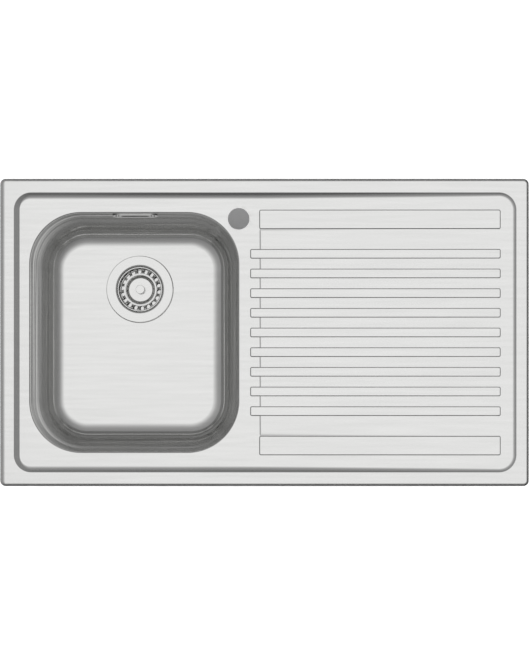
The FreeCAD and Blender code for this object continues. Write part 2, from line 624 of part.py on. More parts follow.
# ---- Lift-out basket ----------------------------------------------------------------
def basket_cup():
    """Stepped steel basket with a hemmed rim, slots in its wall and small holes in its lower step."""
    hem_width, hem_height = BASKET_HEM
    hem_inner = BASKET_RIM_RADIUS - hem_width
    points = [(hem_inner, BASKET_RIM), (BASKET_LEDGE_RADIUS, BASKET_LEDGE - BASKET_LEDGE_FALL),
              (BASKET_STEP_RADIUS, BASKET_LEDGE), (BASKET_FLOOR_RADIUS, BASKET_FLOOR),
              (SCREW_RADIUS, BASKET_FLOOR)]
    cup = turned_sheet(points, {1: BASKET_LEDGE_CORNER, 2: 0.8, 3: 0.8}, BASKET_STEEL, WASTE_AXIS)
    hem_foot = BASKET_RIM - hem_height
    cup = cup.fuse(turned_block([(hem_inner, BASKET_RIM), (BASKET_RIM_RADIUS, BASKET_RIM),
                                 (BASKET_RIM_RADIUS, hem_foot), (hem_inner - 0.2, hem_foot)], WASTE_AXIS))
    half_width = BASKET_SLOT_WIDTH / 2
    slot_foot = BASKET_LEDGE - 3.0
    slot_height = BASKET_RIM - BASKET_SLOT_TOP - slot_foot
    slot_end = WASTE_AXIS + Vector(BASKET_SLOT_START + half_width, 0, slot_foot)
    side = slot_end - Vector(0, half_width, 0)
    slot = Part.makeBox(BASKET_RIM_RADIUS, BASKET_SLOT_WIDTH, slot_height, side)
    slot = slot.fuse(Part.makeCylinder(half_width, slot_height, slot_end))
    middle = (BASKET_STEP_RADIUS + BASKET_FLOOR_RADIUS) / 2
    hole = Part.makeCylinder(BASKET_HOLE_RADIUS, 8.0, Vector(middle, 0, (BASKET_LEDGE + BASKET_FLOOR) / 2),
                             Vector(7, 0, -4.6))
    hole.translate(WASTE_AXIS - Vector(7, 0, -4.6).normalize() * 4.0)
    half_pitch = 180.0 / BASKET_SLOTS
    cup = cup.cut(around(slot, BASKET_SLOTS, WASTE_AXIS, BASKET_PHASE + half_pitch))
    return cup.cut(around(hole, BASKET_SLOTS, WASTE_AXIS, BASKET_PHASE))


STOPPER_TOP = BASKET_FLOOR - BASKET_STEEL
STOPPER_WEB = STOPPER_TOP - 2.0
STEM_SOCKET = 12.0


def basket_stopper():
    """Rubber cup under the basket that seals on the strainer cup's floor."""
    skirt_outer = 22.5
    skirt_inner = 17.5
    outline = [(SCREW_RADIUS, STOPPER_TOP), (skirt_outer - 3.0, STOPPER_TOP), (skirt_outer, CUP_FLOOR + 3.0),
               (skirt_outer, CUP_FLOOR), (skirt_inner, CUP_FLOOR), (skirt_inner, STOPPER_WEB),
               (SCREW_RADIUS, STOPPER_WEB)]
    return turned_block(outline, WASTE_AXIS)


def stem_retainer():
    return tube(WASTE_AXIS + UP * (STOPPER_WEB - 2.4), 6.5, SCREW_RADIUS - 1.0, 2.4)


def basket_stem():
    """Stem stepped down where it passes the basket, the stopper and the retainer."""
    foot = STOPPER_WEB - 2.4
    thin = Part.makeCylinder(SCREW_RADIUS - 1.0, STOPPER_WEB - foot, WASTE_AXIS + UP * foot)
    length = BASKET_FLOOR + STEM_SOCKET - STOPPER_WEB
    wide = Part.makeCylinder(SCREW_RADIUS, length, WASTE_AXIS + UP * STOPPER_WEB)
    return thin.fuse(wide)


def basket_knob():
    """Turned knob with a slight waist for two fingers and a flat top."""
    base = BASKET_FLOOR
    top = base + KNOB_HEIGHT
    waist = KNOB_RADIUS - KNOB_WAIST
    points = [(SCREW_RADIUS, base), (KNOB_RADIUS, base), (KNOB_RADIUS, base + 2.0), (waist, base + 6.0),
              (waist, top - 8.0), (KNOB_RADIUS, top - 4.0), (KNOB_RADIUS, top - KNOB_EDGE),
              (KNOB_RADIUS - KNOB_EDGE, top), (0, top), (0, base + STEM_SOCKET),
              (SCREW_RADIUS, base + STEM_SOCKET)]
    return turned_block(points, WASTE_AXIS)


# ---- Clips --------------------------------------------------------------------------
def clip_places():
    """Screw axis and angle of each clip: the angle turns +Y to point off the sink."""
    y = PAN_FLOOR_HALF_Y - CLIP_INSET
    x = PAN_FLOOR_HALF_X - CLIP_INSET
    places = [(clip_x, -y, 180.0) for clip_x in CLIP_X]
    places += [(clip_x, y, 0.0) for clip_x in CLIP_X]
    return places + [(-x, 0.0, 90.0), (x, 0.0, -90.0)]


def at_clip(shape, place):
    x, y, angle = place
    shape.rotate(Vector(), UP, angle)
    shape.translate(Vector(x, y, 0))
    return shape


def floor_height(x):
    """Height of the pan's upper face, along the edges of the sink."""
    return PAN_FLOOR + max(0.0, x - DRAINER_START) * math.tan(DRAINER_SLOPE)


def hanger_bottom(place):
    return floor_height(place[0]) - STEEL - HANGER_DROP


def clip_hanger(place):
    """Bent strip welded under the pan; the clip's screw turns in the hole in its bridge."""
    low = hanger_bottom(place)
    bridge_half = HANGER_LENGTH / 2 - 9.0
    points = [(-HANGER_LENGTH / 2, 0), (-bridge_half, 0), (-bridge_half, -1), (bridge_half, -1),
              (bridge_half, 0), (HANGER_LENGTH / 2, 0)]
    height = HANGER_DROP - HANGER_STEEL
    path = rounded_path([(x, z * height) for x, z in points], {})
    strip = path.makeOffset2D(HANGER_STEEL, fill=True, openResult=True)
    if strip.BoundBox.ZMax > 0.1:
        strip = path.makeOffset2D(-HANGER_STEEL, fill=True, openResult=True)
    hanger = strip.extrude(BACK * HANGER_WIDTH)
    hanger.translate(Vector(0, -HANGER_WIDTH / 2, low + HANGER_DROP))
    hole = Part.makeCylinder(SCREW_RADIUS + SCREW_RUNNING_GAP, FAR, UP * (low - FAR / 2))
    hanger = at_clip(hanger.cut(hole), place)
    if place[0] > DRAINER_START:
        middle = Vector(place[0], place[1], low + HANGER_DROP)
        hanger.rotate(middle, BACK, -math.degrees(DRAINER_SLOPE))
    return hanger


def clip_screw(place):
    """Screw with a collar on each side of the hanger's bridge and a driving slot below."""
    bridge_low = hanger_bottom(place)
    bridge_top = bridge_low + HANGER_STEEL
    play = 0.3
    screw = Part.makeCylinder(SCREW_RADIUS, bridge_top + 2.5 - SCREW_END, UP * SCREW_END)
    screw = screw.fuse(Part.makeCylinder(5.5, 2.5, UP * (bridge_top + play)))
    screw = screw.fuse(Part.makeCylinder(5.5, 2.5, UP * (bridge_low - play - 2.5)))
    screw = screw.cut(Part.makeBox(10.0, 1.2, 2.0, Vector(-5.0, -0.6, SCREW_END)))
    return at_clip(screw, place)


def clip_dog(place):
    """Steel dog threaded on the screw, stowed along the edge, its toe turned up."""
    bar = prism(Vector((DOG_REACH - DOG_TAIL) / 2, 0, DOG_BOTTOM), (DOG_REACH + DOG_TAIL) / 2,
                DOG_WIDTH / 2, 3.0, DOG_STEEL)
    toe = Part.makeBox(DOG_STEEL, DOG_WIDTH - 6.0, DOG_TOE,
                       Vector(DOG_REACH - DOG_STEEL, 3.0 - DOG_WIDTH / 2, DOG_BOTTOM))
    neck = Part.makeCylinder(5.5, 4.0, UP * DOG_BOTTOM)
    dog = bar.fuse([toe, neck])
    dog = dog.cut(Part.makeCylinder(SCREW_RADIUS + SCREW_RUNNING_GAP, FAR, UP * (DOG_BOTTOM - 5.0)))
    return at_clip(dog, place)


# ---- Files --------------------------------------------------------------------------
def all_nodes():
    upper_nut, lower_nut, washers = hose_joints()
    nodes = {
        "drainer_top": drainer_top(),
        "bowl": bowl(),
        "rim_seal": rim_seal(),
        "bowl_sound_pad": bowl_sound_pad(),
        "drainer_sound_pad": drainer_sound_pad(),
        "clip_hangers": Part.makeCompound([clip_hanger(place) for place in clip_places()]),
        "strainer_cup": strainer_cup(),
        "flange_gasket": flange_gasket(),
        "waste_gasket": waste_gasket(),
        "waste_body": waste_body(),
        "screw_insert": screw_insert(),
        "waste_screw": waste_screw(),
        "overflow_plate": overflow_plate(),
        "overflow_screws": overflow_screws(),
        "overflow_gasket": overflow_gasket(),
        "overflow_body": overflow_body(),
        "overflow_hose": overflow_hose(),
        "overflow_nut_upper": upper_nut,
        "overflow_nut_lower": lower_nut,
        "hose_washers": washers,
        "basket_cup": basket_cup(),
        "basket_stopper": basket_stopper(),
        "basket_stem": basket_stem(),
        "basket_knob": basket_knob(),
        "stem_retainer": stem_retainer(),
    }
    for number, place in enumerate(clip_places(), 1):
        nodes["clip_screw_" + str(number)] = clip_screw(place)
        nodes["clip_dog_" + str(number)] = clip_dog(place)
    return nodes


os.makedirs("parts", exist_ok=True)
for node, shape in all_nodes().items():
    shape.exportStep(os.path.join("parts", node + ".step"))
    print(node, len(shape.Solids), "solids, valid", shape.isValid(), "volume", round(shape.Volume))
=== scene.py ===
"""Looks of an inset stainless steel sink with a ribbed drainboard, in metres.

+X runs to the drainboard, +Y to the tap side, +Z up. The two drawn sheets are rebuilt here
as smooth meshes on the frame's own sizes; the fittings keep their frame shapes.
"""
import json
import math

import bpy
from mathutils import Matrix, Vector
from mathutils.geometry import delaunay_2d_cdt

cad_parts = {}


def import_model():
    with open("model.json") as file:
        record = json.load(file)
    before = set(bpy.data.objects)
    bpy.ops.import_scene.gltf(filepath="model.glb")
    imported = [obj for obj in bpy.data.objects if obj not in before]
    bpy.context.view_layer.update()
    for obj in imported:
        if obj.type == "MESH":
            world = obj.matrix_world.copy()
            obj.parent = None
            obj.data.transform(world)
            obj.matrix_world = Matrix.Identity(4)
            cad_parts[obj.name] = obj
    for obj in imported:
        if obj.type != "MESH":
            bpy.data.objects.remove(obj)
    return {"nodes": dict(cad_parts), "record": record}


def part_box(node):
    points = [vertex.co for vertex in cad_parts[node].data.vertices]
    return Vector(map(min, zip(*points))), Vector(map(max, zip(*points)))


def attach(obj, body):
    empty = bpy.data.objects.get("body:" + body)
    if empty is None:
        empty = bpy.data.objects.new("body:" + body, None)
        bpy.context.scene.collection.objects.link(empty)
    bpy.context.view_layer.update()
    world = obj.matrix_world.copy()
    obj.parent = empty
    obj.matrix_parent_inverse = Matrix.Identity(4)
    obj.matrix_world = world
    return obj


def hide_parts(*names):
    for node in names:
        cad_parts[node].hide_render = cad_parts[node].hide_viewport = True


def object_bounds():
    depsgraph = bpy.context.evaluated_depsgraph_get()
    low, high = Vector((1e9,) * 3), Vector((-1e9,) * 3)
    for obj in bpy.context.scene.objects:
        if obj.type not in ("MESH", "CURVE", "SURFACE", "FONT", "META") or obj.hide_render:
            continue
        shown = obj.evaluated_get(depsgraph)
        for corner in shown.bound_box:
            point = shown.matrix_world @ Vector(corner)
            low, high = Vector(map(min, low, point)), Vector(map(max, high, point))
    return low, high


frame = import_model()
cad_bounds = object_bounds()
nodes = frame["nodes"]
MM = 0.001

# ---- Sizes read from the frame, or in millimetres where the frame can't give them -------
sheet_low, sheet_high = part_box("drainer_top")
bowl_low, bowl_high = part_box("bowl")
cup_low, cup_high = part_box("strainer_cup")

STEEL = 0.8 * MM
HALF_X = sheet_high.x
HALF_Y = sheet_high.y
RIM_TOP = sheet_high.z
OUTER_CORNER = 9 * MM
BEVEL_WIDTH = 3.6 * MM
BEVEL_SLOPE = math.radians(38)
BEVEL_TOP_RADIUS = 4 * MM
BEVEL_FOOT_RADIUS = 1.2 * MM
LEFT_BEVEL_EXTRA = 0.7
RIM_X = 20 * MM
RIM_Y = 22 * MM
PAN_CORNER = 29 * MM
PAN_SLOPE = math.radians(38)
PAN_EDGE_RADIUS = 2 * MM
PAN_FOOT_RADIUS = 13 * MM
LEFT_RIM_EXTRA = 2 * MM
LEFT_STEP_SLOPE = math.radians(31)
LEFT_FOOT_RADIUS = 3 * MM
PAN_FLOOR = 1.5 * MM

DRAINER_START = -7.2 * MM
DRAINER_END = 404 * MM
DRAINER_RISE = 2.75 * MM
FIELD_STEP = 0.8 * MM
RAMP_START = -8.6 * MM
RAMP_END = -5.2 * MM
FIELD_FADE = 3 * MM

RIB_MODULE = 16 * MM
RIB_HEIGHT = 1.5 * MM
RIB_SIDE = 1.8 * MM
RIB_CORNER = 3 * MM
RIB_RIGHT = 384.3 * MM
NARROW_LEFT = -23.4 * MM
WIDE_LEFT = -8.7 * MM
NARROW_COUNT = 9
WIDE_CENTRE = 184 * MM
FIELD_HALF = WIDE_CENTRE - RIB_MODULE

BOWL_X = (bowl_low.x + bowl_high.x) / 2
BOWL_HALF_X = (bowl_high.x - bowl_low.x) / 2 - STEEL
BOWL_HALF_Y = (bowl_high.y - bowl_low.y) / 2 - STEEL
BOWL_CORNER = 84 * MM
BOWL_JOINT = bowl_high.z
LIP_RADIUS = 1.5 * MM
RECESS_DEPTH = 1.2 * MM
BOWL_FLOOR = bowl_low.z + STEEL + RECESS_DEPTH
DRAFT_TOP = math.radians(4.5)
DRAFT_FOOT = math.radians(11.66)
BOTTOM_RADIUS = 30 * MM
WALL_STEPS = 24
WASTE = Vector(((cup_low.x + cup_high.x) / 2, (cup_low.y + cup_high.y) / 2, 0))
RECESS = WASTE + Vector((0.53, -0.53, 0)) * MM
RECESS_TOP = 57.25 * MM
RECESS_FLOOR = 55.95 * MM
WASTE_HOLE = 45 * MM

OVERFLOW_Z = -26 * MM
OVERFLOW_LENGTH = 66 * MM
OVERFLOW_HEIGHT = 12 * MM
CUTTER_HALF = 8 * MM

TAP = Vector((-42 * MM, 185 * MM, 0))
TAP_RADIUS = 17.5 * MM


# ---- Materials ----------------------------------------------------------------------
def linear(hex_colour):
    """sRGB hex colour as linear RGBA."""
    channels = [int(hex_colour[i:i + 2], 16) / 255 for i in (1, 3, 5)]
    values = [c / 12.92 if c <= 0.04045 else ((c + 0.055) / 1.055) ** 2.4 for c in channels]
    return (*values, 1.0)


def add(tree, kind, settings=None, links=None):
    """Adds a node, sets its values and sockets, and links its inputs."""
    node = tree.nodes.new(kind)
    for name, value in (settings or {}).items():
        if isinstance(name, str) and name not in node.inputs:
            setattr(node, name, value)
        else:
            node.inputs[name].default_value = value
    for name, source in (links or {}).items():
        tree.links.new(source, node.inputs[name])
    return node


def new_material(name, **surface):
    """Material with one Principled surface: returns it, its tree and the surface node."""
    material = bpy.data.materials.new(name)
    material.use_nodes = True
    tree = material.node_tree
    shader = tree.nodes["Principled BSDF"]
    for key, value in surface.items():
        shader.inputs[key.replace("_", " ")].default_value = value
    return material, tree, shader


def grain(tree, scale, detail=2.0):
    """Noise by place on the part; scale is the number of grains per metre along X, Y and Z."""
    place = add(tree, "ShaderNodeTexCoord")
    stretch = add(tree, "ShaderNodeMapping", {"Scale": scale}, {"Vector": place.outputs["Object"]})
    noise = add(tree, "ShaderNodeTexNoise", {"Scale": 1.0, "Detail": detail}, {"Vector": stretch.outputs[0]})
    return noise.outputs["Fac"]


def spread(tree, source, low, high):
    """Maps a noise, which stays near 0.3 to 0.7, onto low to high."""
    span = {"From Min": 0.3, "From Max": 0.7, "To Min": low, "To Max": high}
    return add(tree, "ShaderNodeMapRange", span, {"Value": source}).outputs[0]


def tint(tree, source, low, high, socket):
    """Colours a socket between two hex colours along a noise."""
    ramp = add(tree, "ShaderNodeValToRGB", {}, {"Fac": source})
    for element, place, colour in zip(ramp.color_ramp.elements, (0.3, 0.7), (low, high)):
        element.position = place
        element.color = linear(colour)
    tree.links.new(ramp.outputs["Color"], socket)


def relief(tree, source, depth, shaders, strength=1.0):
    """Fine relief of a real depth in metres on each of the shaders."""
    bump = add(tree, "ShaderNodeBump", {"Strength": strength, "Distance": depth}, {"Height": source})
    for shader in shaders:
        tree.links.new(bump.outputs[0], shader.inputs["Normal"])
    return bump


def brush_direction(tree):
    """Direction of the brush lines: along X on level faces, level round upright walls."""
    place = add(tree, "ShaderNodeTexCoord")
    along = add(tree, "ShaderNodeVectorMath", {"operation": "CROSS_PRODUCT", 1: (0.0, 0.2, 1.0)},
                {0: place.outputs["Normal"]})
    return along.outputs["Vector"]


def stainless(name, colour, sharp, broad, share, lines):
    """Stainless steel: a sharp reflection with some of a broad one, under fine brush lines."""
    material, tree, shader = new_material(name, Base_Color=linear(colour), Metallic=1.0)
    haze = add(tree, "ShaderNodeBsdfPrincipled",
               {"Base Color": linear(colour), "Metallic": 1.0, "Roughness": broad})
    brush = grain(tree, lines)
    tree.links.new(spread(tree, brush, sharp * 0.85, sharp * 1.15), shader.inputs["Roughness"])
    relief(tree, brush, 0.00004, (shader, haze), 0.02)
    mix = add(tree, "ShaderNodeMixShader", {"Fac": share}, {1: shader.outputs[0], 2: haze.outputs[0]})
    tree.links.new(mix.outputs[0], tree.nodes["Material Output"].inputs["Surface"])
    return material, tree, shader


def brushed_stainless():
    """Satin sheet that shows the studio evenly, with soft dark bands where it turns.

    The real brush lines are under 0.1 mm apart. Here they are about 6 mm apart on level faces,
    as a faint change of colour, and 2 mm down the walls, as relief, so that they show. Drawing
    leaves shallow ripples about 20 mm apart down the walls.
    """
    material, tree, shader = stainless("brushed_stainless", "#dfdfde", 0.1, 0.42, 0.15, (6.0, 6.0, 500.0))
    shader.inputs["Anisotropic"].default_value = 0.6
    tree.links.new(brush_direction(tree), shader.inputs["Tangent"])
    ripple = grain(tree, (3.0, 3.0, 45.0), 1.0)
    fine = shader.inputs["Normal"].links[0].from_node
    wide = relief(tree, ripple, 0.0008, ())
    tree.links.new(wide.outputs[0], fine.inputs["Normal"])
    tint(tree, grain(tree, (9.0, 160.0, 160.0), 4.0), "#dcdcdb", "#e2e2e1", shader.inputs["Base Color"])
    return material


def polished_stainless():
    """Pressed and polished fittings, whose tighter reflections set them off from the sheet."""
    return stainless("polished_stainless", "#dfdfde", 0.06, 0.38, 0.15, (900.0, 900.0, 60.0))[0]


def sprayed_undercoat():
    """Rubbery grey coat sprayed under the sheet against drumming, with a pebbled matt skin."""
    material, tree, shader = new_material("sprayed_undercoat")
    pebble = grain(tree, (400.0, 400.0, 400.0), 3.0)
    tint(tree, grain(tree, (40.0, 40.0, 40.0), 4.0), "#3f4043", "#4c4d50", shader.inputs["Base Color"])
    tree.links.new(spread(tree, pebble, 0.7, 0.9), shader.inputs["Roughness"])
    relief(tree, pebble, 0.0003, (shader,), 0.6)
    return material


def moulded_polypropylene(name="moulded_polypropylene", low="#d3d3cd", high="#dcdcd7"):
    """Milky moulded plastic with a faint orange peel, so that it doesn't look like paint."""
    material, tree, shader = new_material(name, IOR=1.49)
    peel = grain(tree, (700.0, 700.0, 700.0))
    flow = grain(tree, (25.0, 25.0, 60.0), 3.0)
    tint(tree, flow, low, high, shader.inputs["Base Color"])
    tree.links.new(spread(tree, peel, 0.36, 0.48), shader.inputs["Roughness"])
    relief(tree, peel, 0.00005, (shader,), 0.4)
    return material


def black_rubber():
    """Dull black rubber with a little bloom, which keeps it apart from shadow."""
    material, tree, shader = new_material("black_rubber", IOR=1.52)
    bloom = grain(tree, (120.0, 120.0, 120.0), 4.0)
    tint(tree, bloom, "#161617", "#262627", shader.inputs["Base Color"])
    tree.links.new(spread(tree, bloom, 0.55, 0.75), shader.inputs["Roughness"])
    relief(tree, grain(tree, (1500.0, 1500.0, 1500.0)), 0.00004, (shader,), 0.5)
    return material


def foam_tape():
    """Closed-cell foam, whose pores under 1 mm give it a crumbly matt look."""
    material, tree, shader = new_material("foam_tape", Roughness=0.95)
    place = add(tree, "ShaderNodeTexCoord")
    cells = add(tree, "ShaderNodeTexVoronoi", {"Scale": 1300.0}, {"Vector": place.outputs["Object"]})
    tint(tree, cells.outputs["Distance"], "#28282a", "#454547", shader.inputs["Base Color"])
    relief(tree, cells.outputs["Distance"], 0.0003, (shader,), 0.7)
    return material


def bitumen_pad():
    """Sound-deadening sheet, slightly pebbled and mottled, so that it reads as a soft mat."""
    material, tree, shader = new_material("bitumen_pad")
    pebble = grain(tree, (350.0, 350.0, 350.0), 3.0)
    mottle = grain(tree, (30.0, 30.0, 30.0), 4.0)
    tint(tree, mottle, "#3e3e40", "#555557", shader.inputs["Base Color"])
    tree.links.new(spread(tree, pebble, 0.75, 0.92), shader.inputs["Roughness"])
    relief(tree, pebble, 0.0004, (shader,), 0.6)
    return material


def galvanised(name, thread=False):
    """Zinc-plated steel with its patchy crystals; a thread adds its 1 mm turns as relief."""
    material, tree, shader = new_material(name, Metallic=1.0)
    place = add(tree, "ShaderNodeTexCoord")
    crystals = add(tree, "ShaderNodeTexVoronoi", {"Scale": 350.0}, {"Vector": place.outputs["Object"]})
    patch = crystals.outputs["Color"]
    tint(tree, patch, "#a5a9ae", "#c6c9cc", shader.inputs["Base Color"])
    tree.links.new(spread(tree, patch, 0.3, 0.46), shader.inputs["Roughness"])
    if thread:
        turns = add(tree, "ShaderNodeTexWave", {"bands_direction": "Z", "Scale": 314.0},
                    {"Vector": place.outputs["Object"]})
        relief(tree, turns.outputs["Fac"], 0.0005, (shader,), 0.9)
    else:
        relief(tree, grain(tree, (900.0, 900.0, 900.0)), 0.00003, (shader,), 0.4)
    return material


def turned_brass():
    """Turned brass with rings 0.5 mm apart from the tool, drawn coarser than the real 0.1 mm."""
    material, tree, shader = new_material("turned_brass", Metallic=1.0)
    place = add(tree, "ShaderNodeTexCoord")
    rings = add(tree, "ShaderNodeTexWave", {"bands_direction": "Z", "Scale": 628.0, "Distortion": 0.4},
                {"Vector": place.outputs["Object"]})
    tint(tree, grain(tree, (80.0, 80.0, 80.0)), "#b8934a", "#cfab62", shader.inputs["Base Color"])
    tree.links.new(spread(tree, rings.outputs["Fac"], 0.24, 0.34), shader.inputs["Roughness"])
    relief(tree, rings.outputs["Fac"], 0.00003, (shader,), 0.4)
    return material


# ---- Lines and loops of points --------------------------------------------------------
def even(low, high, count):
    return [low + (high - low) * i / count for i in range(count + 1)]


def rounded(corners, steps=6):
    """Points of a bent line through (along, height, radius) corners, rounded at the inner ones."""
    line = [Vector(corners[0][:2])]
    for before, corner, after in zip(corners, corners[1:], corners[2:]):
        spot = Vector(corner[:2])
        back = (Vector(before[:2]) - spot).normalized()
        ahead = (Vector(after[:2]) - spot).normalized()
        half = math.acos(back.dot(ahead)) / 2
        middle = spot + (back + ahead).normalized() * (corner[2] / math.sin(half))
        arm = spot + back * (corner[2] / math.tan(half)) - middle
        turn = math.copysign(math.pi - 2 * half, ahead.x * back.y - ahead.y * back.x)
        line += [middle + Matrix.Rotation(turn * share, 2) @ arm for share in even(0, 1, steps)]
    return line + [Vector(corners[-1][:2])]


def contour(centre, half_x, half_y, radius, corner_steps=16, stops_x=()):
    """Rounded rectangle, anticlockwise from its lower right corner, as (point, outward normal).

    Straight sides along X also get a point at each of stops_x.
    """
    loop = []
    corners = [(1, -1, -90), (1, 1, 0), (-1, 1, 90), (-1, -1, 180)]
    for sx, sy, start in corners:
        middle = Vector((centre[0] + sx * (half_x - radius), centre[1] + sy * (half_y - radius)))
        for angle in even(start, start + 90, corner_steps):
            normal = Vector((math.cos(math.radians(angle)), math.sin(math.radians(angle))))
            loop.append((middle + normal * radius, normal))
        if sx == sy:
            inner = [x for x in stops_x if abs(x - centre[0]) < half_x - radius]
            side = Vector((0, sy))
            y = centre[1] + sy * half_y
            loop += [(Vector((x, y)), side) for x in sorted(inner, reverse=sy > 0)]
    return loop


def circle(centre, radius, count):
    return [Vector((centre[0] + radius * math.cos(2 * math.pi * i / count),
                    centre[1] + radius * math.sin(2 * math.pi * i / count))) for i in range(count)]


class Skin:
    """Gathers points and faces of one surface; loops are lists of point numbers."""

    def __init__(self):
        self.points = []
        self.faces = []

    def loop(self, points):
        start = len(self.points)
        self.points += [tuple(p) for p in points]
        return list(range(start, start + len(points)))

    def band(self, outer, inner):
        """Quads between two loops of the same count."""
        count = len(outer)
        for i in range(count):
            j = (i + 1) % count
            self.faces.append((outer[i], outer[j], inner[j], inner[i]))

    def bands(self, loops):
        for outer, inner in zip(loops, loops[1:]):
            self.band(outer, inner)

    def fill(self, outer, holes=(), lines=()):
        """Triangles between an outer loop and holes, keeping the edges of lines."""
        used = list(outer)
        for ring in list(holes) + list(lines):
            used += [p for p in ring if p not in used]
        place = {p: i for i, p in enumerate(used)}
        flat = [Vector(self.points[p][:2]) for p in used]
        edges = []
        for ring in [outer] + list(holes):
            edges += [(place[a], place[b]) for a, b in zip(ring, ring[1:] + ring[:1])]
        for line in lines:
            edges += [(place[a], place[b]) for a, b in zip(line, line[1:])]
        made = delaunay_2d_cdt(flat, edges, [], 0, 1e-7)
        new_points, new_faces, origins = made[0], made[2], made[3]
        number = [used[source[0]] if source else None for source in origins]
        if None in number:
            raise ValueError("lines cross where they have no point")
        outline = [flat[place[p]] for p in outer]
        gaps = [[flat[place[p]] for p in ring] for ring in holes]
        for face in new_faces:
            middle = sum((new_points[i] for i in face), Vector((0, 0))) / len(face)
            if inside(middle, outline) and not any(inside(middle, gap) for gap in gaps):
                self.faces.append(tuple(number[i] for i in face))

    def build(self, name):
        mesh = bpy.data.meshes.new(name)
        mesh.from_pydata(self.points, [], self.faces)
        mesh.validate()
        for polygon in mesh.polygons:
            polygon.use_smooth = True
        piece = bpy.data.objects.new(name, mesh)
        bpy.context.scene.collection.objects.link(piece)
        return piece


def inside(point, ring):
    """True if a flat point lies inside a ring of flat points."""
    hit = False
    for a, b in zip(ring, ring[1:] + ring[:1]):
        if (a.y > point.y) != (b.y > point.y):
            if point.x < a.x + (b.x - a.x) * (point.y - a.y) / (b.y - a.y):
                hit = not hit
    return hit


def ease(share):
    """Smooth climb from 0 to 1 with level ends, steepest in the middle."""
    return share - math.sin(2 * math.pi * share) / (2 * math.pi)


def thicken(piece, thickness):
    """Gives a skin its sheet thickness, with the coat on the side away from its normals."""
    piece.data.materials.append(STAINLESS)
    piece.data.materials.append(UNDERCOAT)
    solid = piece.modifiers.new("thickness", "SOLIDIFY")
    solid.material_offset = 1
    solid.thickness = thickness
    solid.offset = -1
    solid.use_even_offset = True
    weighted = piece.modifiers.new("shading", "WEIGHTED_NORMAL")
    weighted.weight = 80
    return piece


# ---- Top sheet ----------------------------------------------------------------------
def floor_z(x):
    """Height of the pan's floor, which climbs along the drainboard."""
    return PAN_FLOOR + DRAINER_RISE * max(0.0, (x - DRAINER_START) / (DRAINER_END - DRAINER_START))


def ground_z(x, y):
    """Height of the drainboard's ground, with its low raised field between the wide ribs."""
    share = min(max((x - RAMP_START) / (RAMP_END - RAMP_START), 0.0), 1.0)
    if x > RAMP_END + MM:
        fade = 1.0 if abs(y) < FIELD_HALF + 0.1 * MM else 0.0
    else:
        fade = min(max((FIELD_HALF + 0.5 * MM - abs(y)) / FIELD_FADE, 0.0), 1.0)
    run_out = min(1.0, 1 - (x - RAMP_END) / (RIB_RIGHT - RAMP_END))
    return floor_z(x) + FIELD_STEP * ease(share) * fade * max(0.0, run_out)


def turned_edge(skin):
    """Turned-down outer edge with its bevel, from its lower end up to the flat of the rim."""
    foot = RIM_TOP - BEVEL_WIDTH * math.tan(BEVEL_SLOPE)
    arc_end = BEVEL_WIDTH + BEVEL_TOP_RADIUS * math.tan(BEVEL_SLOPE / 2)
    profile = rounded([(0, 0), (0, foot, BEVEL_FOOT_RADIUS), (BEVEL_WIDTH, RIM_TOP, BEVEL_TOP_RADIUS),
                       (arc_end + 0.1 * MM, RIM_TOP)])
    outline = contour((0, 0), HALF_X, HALF_Y, OUTER_CORNER, 12)
    loops = []
    for inset, z in profile:
        ring = []
        for point, normal in outline:
            spot = point - normal * inset
            wider = LEFT_BEVEL_EXTRA * inset * max(0.0, -normal.x)
            ring.append((spot.x + wider, spot.y, z))
        loops.append(skin.loop(ring))
    skin.bands(loops)
    return loops[-1]


def step_profile(drop, left):
    """Step down into the pan as (inset, share of the drop): tight at the rim, wide at the foot.

    On the left side, where left is 1, the step is gentler and its foot is tight too.
    """
    slope = PAN_SLOPE + (LEFT_STEP_SLOPE - PAN_SLOPE) * left
    room = (drop - 0.3 * MM) / (1 - math.cos(slope)) - PAN_EDGE_RADIUS
    foot_radius = min(PAN_FOOT_RADIUS + (LEFT_FOOT_RADIUS - PAN_FOOT_RADIUS) * left, room)
    reach = math.tan(slope / 2)
    start = PAN_EDGE_RADIUS * reach
    foot = start + drop / math.tan(slope)
    line = rounded([(-0.5 * MM, 0), (start, 0, PAN_EDGE_RADIUS), (foot, -drop, foot_radius),
                    (foot + foot_radius * reach + 0.5 * MM, -drop)], 10)
    return [(inset, -height / drop) for inset, height in line]


def pan_step(skin):
    """Step from the rim down into the pan; returns its top and bottom loops."""
    shift = LEFT_RIM_EXTRA / 2
    edge = contour((shift, 0), HALF_X - RIM_X - shift, HALF_Y - RIM_Y, PAN_CORNER, 24,
                   even(-HALF_X, HALF_X, 43)[1:-1])
    profiles = []
    for point, normal in edge:
        profiles.append(step_profile(RIM_TOP - floor_z(point.x), max(0.0, -normal.x) ** 2))
    loops = []
    for row in zip(*profiles):
        ring = []
        for (point, normal), (inset, share) in zip(edge, row):
            spot = point - normal * inset
            ring.append((spot.x, spot.y, RIM_TOP - (RIM_TOP - floor_z(spot.x)) * share))
        loops.append(skin.loop(ring))
    skin.bands(loops)
    return loops[0], loops[-1]


def bowl_lip(skin):
    """Rounded edge of the bowl opening, down to the weld."""
    opening = contour((BOWL_X, 0), BOWL_HALF_X, BOWL_HALF_Y, BOWL_CORNER, 32)
    profile = rounded([(2 * LIP_RADIUS, PAN_FLOOR), (0, PAN_FLOOR, LIP_RADIUS), (0, BOWL_JOINT)])
    loops = [skin.loop([(*(p + n * outset), z) for p, n in opening]) for outset, z in profile]
    skin.bands(loops)
    return loops[0]


